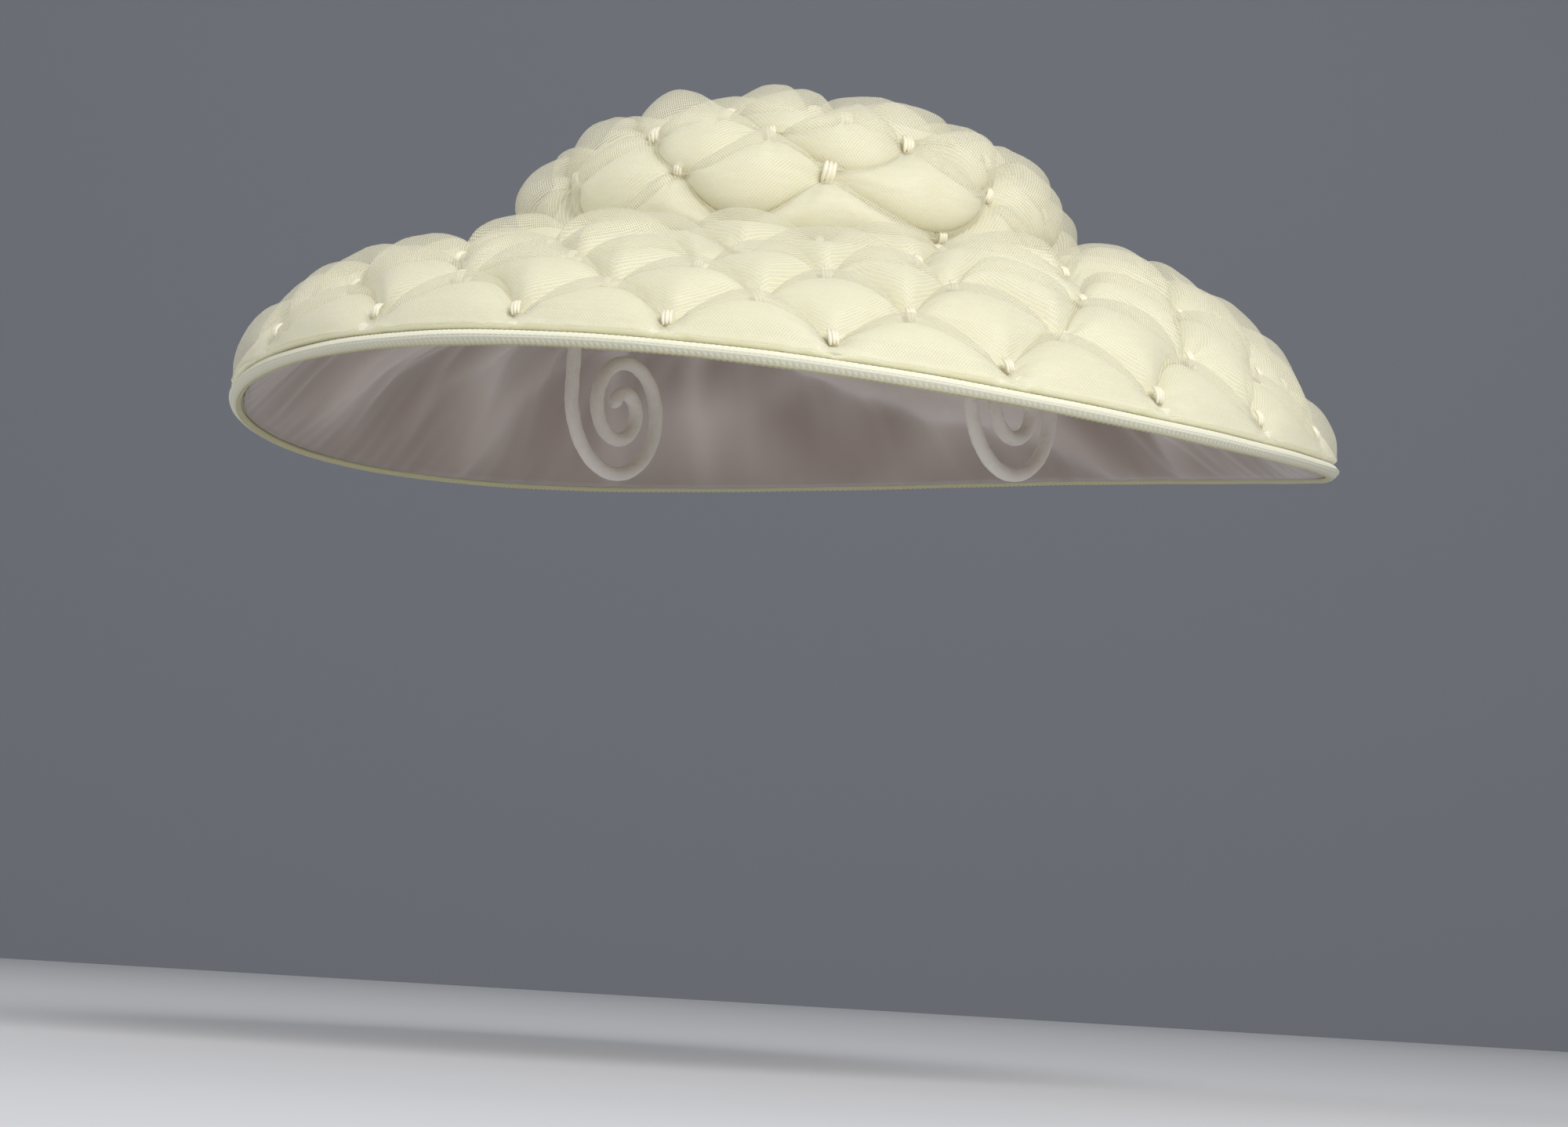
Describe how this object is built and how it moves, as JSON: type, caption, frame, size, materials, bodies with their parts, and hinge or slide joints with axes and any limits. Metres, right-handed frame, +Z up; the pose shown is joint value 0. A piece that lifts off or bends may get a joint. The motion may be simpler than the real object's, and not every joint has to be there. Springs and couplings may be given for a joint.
{
  "type": "wide-brim hat",
  "caption": "Cartwheel hat with a shallow domed crown and a wide drooping bell brim, covered in staggered rows of puffed net, with a braid-bound rim, gathered lining and two spiral wire grips.",
  "frame": {"origin": "middle of the head opening, where the inside of the crown meets the brim", "axes": "+Z up through the crown, -Y towards the front of the hat, +X towards the wearer's left"},
  "size_m": [0.3734, 0.3734, 0.1255],
  "materials": {
    "foundation": "stiffened net, matte",
    "puffed_net": "sheer padded net with a soft sheen",
    "braid": "knitted synthetic straw braid, slight shine",
    "lining_silk": "gathered silk, soft sheen",
    "velvet": "short velvet pile, matte"
  },
  "bodies": {
    "root": {"crown_form": "foundation", "brim_form": "foundation", "rim_binding": "braid", "brim_lining": "lining_silk", "grip_left": "velvet", "grip_right": "velvet", "crown_puffs_lower": "puffed_net", "crown_puffs_second": "puffed_net", "crown_puffs_middle": "puffed_net", "crown_puffs_upper": "puffed_net", "crown_puffs_top": "puffed_net", "brim_puffs_inner": "puffed_net", "brim_puffs_second": "puffed_net", "brim_puffs_third": "puffed_net", "brim_puffs_fourth": "puffed_net", "brim_puffs_rim": "puffed_net"}
  },
  "joints": []
}
